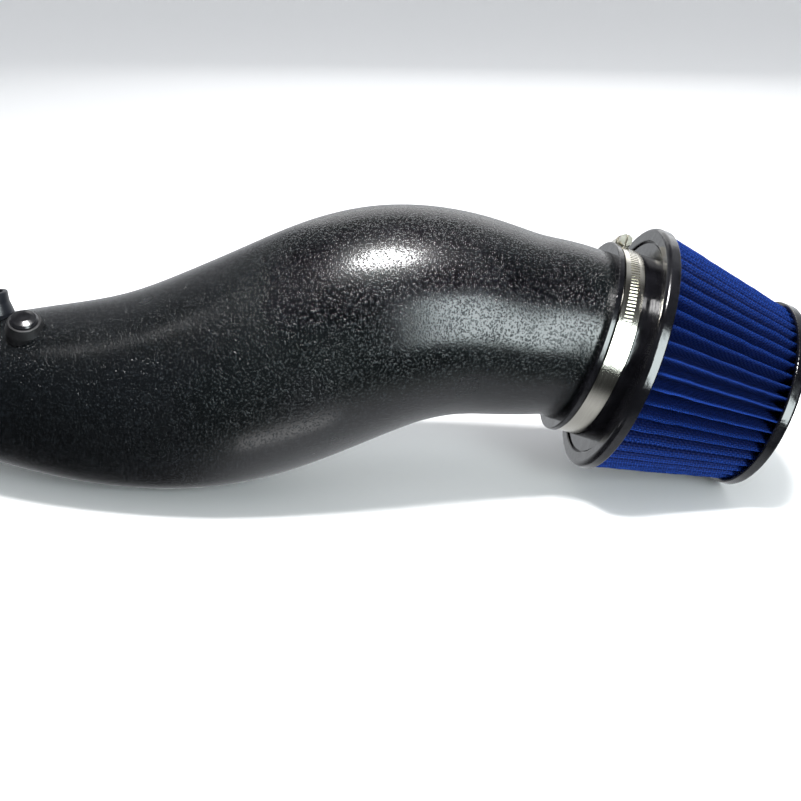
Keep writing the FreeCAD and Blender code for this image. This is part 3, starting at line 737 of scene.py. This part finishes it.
# Painted highlight: fold tips painted far paler, valleys left dark as painted shade; the small lift
# everywhere is the weave's own pattern.
threads_and_tip_highlight = calc(tree, "MULTIPLY_ADD", tips, 0.7, 0.18)
thread = calc(tree, "MULTIPLY", weave, fuzz)
weave_and_painted_highlight = calc(tree, "MULTIPLY", calc(tree, "MULTIPLY", thread, threads_and_tip_highlight), 1.6, clamp=True)
paint(tree, shader, blend(tree, weave_and_painted_highlight, "#010428", "#0c3a90"))
print("gauze has", len(tree.nodes), "nodes")

# %% [markdown]
# ## The pleated cone
# Fifty folds run down the cone. A grid becomes the cloth: its first coordinate goes round the cone,
# its second along it, and a wave of the turn pushes each point in or out. The fold's height is also
# stored, for the painted highlight on the tips, and so are millimetres along the cloth, for the
# weave.

# %% Cone tree
cone_tree, given = new_tree("pleated_cone", [
    ("Pleats", "Int"), ("Steps per Pleat", "Int"), ("Rows", "Int"), ("Foot Radius", "Float"),
    ("Tip Radius", "Float"), ("Length", "Float"), ("Depth", "Float"), ("Wander", "Float"),
    ("Place", "Vector"), ("Turn", "Rotation"), ("Material", "Material"),
])


def geo(operation, *values):
    """One step of arithmetic in the cone's tree."""
    return calc(cone_tree, operation, *values)


columns = geo("MULTIPLY", given["Pleats"], given["Steps per Pleat"])
grid = add(cone_tree, "GeometryNodeMeshGrid", {
    "Size X": 1.0, "Size Y": 1.0,
    "Vertices X": geo("ADD", columns, 1.0), "Vertices Y": given["Rows"],
})
flat = add(cone_tree, "ShaderNodeSeparateXYZ", {
    0: add(cone_tree, "GeometryNodeInputPosition").outputs[0],
})
turn_share = geo("ADD", flat.outputs["X"], 0.5)
share = geo("ADD", flat.outputs["Y"], 0.5)
turn = geo("MULTIPLY", turn_share, 2 * math.pi)
half_wave = geo("MULTIPLY", geo("MULTIPLY", turn, given["Pleats"]), 0.5)
sunk = geo("POWER", geo("ABSOLUTE", geo("SINE", half_wave)), 1.5)
fold = geo("SUBTRACT", 1.0, sunk)
print("tree starts with", len(cone_tree.nodes), "nodes")

# %% [markdown]
# A slow noise lets the folds wander as hand-set pleats do. It has to meet itself where the grid
# closes, so it is read at the point on the smooth cone and not on the grid. Then the turn becomes
# a place: cosine and sine of the turn, times the radius, and the share of the length.

# %% Cone tree, places
TWIST = 0.02


def round_axis(angle, radius, height):
    """The point at an angle, a radius and a height about Z."""
    return add(cone_tree, "ShaderNodeCombineXYZ", {
        0: geo("MULTIPLY", geo("COSINE", angle), radius),
        1: geo("MULTIPLY", geo("SINE", angle), radius),
        2: height,
    }).outputs[0]


outer = add(cone_tree, "ShaderNodeMix", {
    0: share, 2: given["Foot Radius"], 3: given["Tip Radius"],
}, clamp_factor=False).outputs[0]
shrink = geo("DIVIDE", outer, given["Foot Radius"])
dip = geo("MULTIPLY", geo("MULTIPLY", given["Depth"], shrink), sunk)
height = geo("MULTIPLY", share, given["Length"])
smooth = round_axis(turn, outer, height)
wander = geo("SUBTRACT", noise(cone_tree, smooth, 9.0, 1.0), 0.5)
radius = geo("SUBTRACT", outer, geo("MULTIPLY_ADD", wander, given["Wander"], dip))
twist = geo("SUBTRACT", noise(cone_tree, smooth, 14.0, 1.0), 0.5)
place = round_axis(geo("MULTIPLY_ADD", twist, TWIST, turn), radius, height)
print("twist of up to %.1f degrees" % math.degrees(TWIST / 2))

# %% [markdown]
# The cloth coordinates are stored before the grid is bent. Going across one fold covers about
# twice its depth of cloth, so the first coordinate counts folds times that length.

# %% Cone tree, cloth coordinates and end
CONE_LENGTH = 84.3
CLOTH_PER_FOLD = 32.0
CLOSE_GAP = 0.01
folds_along = geo("MULTIPLY", turn_share, given["Pleats"])
cloth_at = add(cone_tree, "ShaderNodeCombineXYZ", {
    0: geo("MULTIPLY", folds_along, CLOTH_PER_FOLD), 1: geo("MULTIPLY", share, CONE_LENGTH),
})
keep_cloth = add(cone_tree, "GeometryNodeStoreNamedAttribute", {
    "Geometry": grid.outputs["Mesh"], "Name": "cloth", "Value": cloth_at.outputs[0],
}, data_type="FLOAT2", domain="CORNER")
keep_fold = add(cone_tree, "GeometryNodeStoreNamedAttribute", {
    "Geometry": keep_cloth.outputs[0], "Name": "fold", "Value": fold,
}, data_type="FLOAT", domain="POINT")
bend = add(cone_tree, "GeometryNodeSetPosition", {
    "Geometry": keep_fold.outputs[0], "Position": place,
})
joined = add(cone_tree, "GeometryNodeMergeByDistance", {
    "Geometry": bend.outputs[0], "Distance": CLOSE_GAP * MM,
})
laid = add(cone_tree, "GeometryNodeTransform", {
    "Geometry": joined.outputs[0], "Translation": given["Place"], "Rotation": given["Turn"],
})
close_tree(cone_tree, laid.outputs[0], given["Material"])
print("tree has", len(cone_tree.nodes), "nodes")

# %% [markdown]
# The cone runs from inside the flange to inside the end cap, 2 mm into the rubber at each end. Its
# radii are those of the frame's solid at the same places. Solidify gives the cloth its thickness.

# %% Pleated cone
CONE_START = 26.8
CLOTH_THICKNESS = 0.8
seed = put("cone_seed", bpy.data.meshes.new("cone_seed"))
cone = run_tree(seed, cone_tree, {
    "Pleats": 50, "Steps per Pleat": 12, "Rows": 37, "Foot Radius": 72.1 * MM,
    "Tip Radius": 53.9 * MM, "Length": CONE_LENGTH * MM, "Depth": 15.0 * MM, "Wander": 1.0 * MM,
    "Place": filter_frame @ Vector((0.0, 0.0, CONE_START * MM)),
    "Turn": filter_frame.to_euler(), "Material": gauze,
}, "pleated_gauze_cone")
outward(cone.data)
modify(cone, "SOLIDIFY", thickness=CLOTH_THICKNESS * MM, offset=-1.0)
settle(cone, 70.0)
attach(cone, "root")
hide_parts("filter_media")
print("cone of", len(cone.data.polygons), "faces")

# %% [markdown]
# ## Sheet metal
# The cage inside the cone is plain perforated sheet. It can be glimpsed only through the pipe, so
# rolled aluminium with faint streaks is enough. The streaks run along the filter's axis, so they
# are read in the filter's own frame and stretched there.

# %% Cage metal
def on_filter(tree, point):
    """The same point in the filter's own upright frame."""
    return add(tree, "ShaderNodeMapping", {
        "Vector": point,
        "Location": filter_frame.to_translation(),
        "Rotation": filter_frame.to_euler(),
    }, vector_type="TEXTURE").outputs[0]


def stretched(tree, point, scale):
    """The point with its axes scaled: less than 1 draws a pattern out."""
    return add(tree, "ShaderNodeMapping", {"Vector": point, "Scale": scale}).outputs[0]


cage_metal, tree, shader, point = new_finish("rolled_aluminium_sheet", "#a9abad", 0.42, 1.0)
streaks = noise(tree, stretched(tree, on_filter(tree, point), (1.0, 1.0, 0.08)), 0.8, 2.0)
emboss(tree, shader, streaks, 0.2, 0.04)
paint(tree, shader, blend(tree, streaks, "#9a9c9e", "#b8babb"),
      spread(tree, streaks, 0.0, 1.0, 0.34, 0.52))
dress("inner_cage", cage_metal)

# %% [markdown]
# ## Polished band
# The clamp's band is stainless strip that was rolled and polished along its length. Its scratches
# run round the neck, so the noise is stretched round the axis: it reads the turn and the height
# instead of the plain point. Warm grey, very smooth, with a little unevenness left in the strip.

# %% Band steel
BAND_RADIUS = 55.8


def round_and_along(tree, local, radius_mm):
    """Metres round the filter's axis and along it, as a vector."""
    parts = add(tree, "ShaderNodeSeparateXYZ", {0: local})
    angle = calc(tree, "ARCTAN2", parts.outputs["Y"], parts.outputs["X"])
    arc = calc(tree, "MULTIPLY", angle, radius_mm * MM)
    return add(tree, "ShaderNodeCombineXYZ", {0: arc, 1: parts.outputs["Z"]}).outputs[0]


band_steel, tree, shader, point = new_finish("polished_stainless_strip", "#d6d2c6", 0.17, 1.0)
unrolled = round_and_along(tree, on_filter(tree, point), BAND_RADIUS)
lines = noise(tree, stretched(tree, unrolled, (0.05, 1.0, 1.0)), 0.7, 3.0)
waves = noise(tree, unrolled, 9.0, 1.0)
emboss(tree, shader, calc(tree, "MULTIPLY_ADD", waves, 2.5, lines), 0.25, 0.05)
paint(tree, shader, blend(tree, lines, "#c9c5b8", "#e2dfd6"),
      spread(tree, lines, 0.0, 1.0, 0.12, 0.26))
dress("clamp_band", band_steel)
dress("clamp_housing", band_steel)

# %% [markdown]
# ## Plated screw
# The screw is zinc-plated: greyer and duller than the strip, and a little yellow where the zinc
# lies thick. One spotty noise carries its colour, gloss and relief.

# %% Screw steel
plated, tree, shader, point = new_finish("zinc_plated_steel", "#b9b6aa", 0.3, 1.0)
spots = noise(tree, point, 1.5, 4.0)
emboss(tree, shader, spots, 0.3, 0.05)
paint(tree, shader, blend(tree, spots, "#8f8b7c", "#cfccc2"),
      spread(tree, spots, 0.0, 1.0, 0.22, 0.42))
dress("clamp_screw", plated)
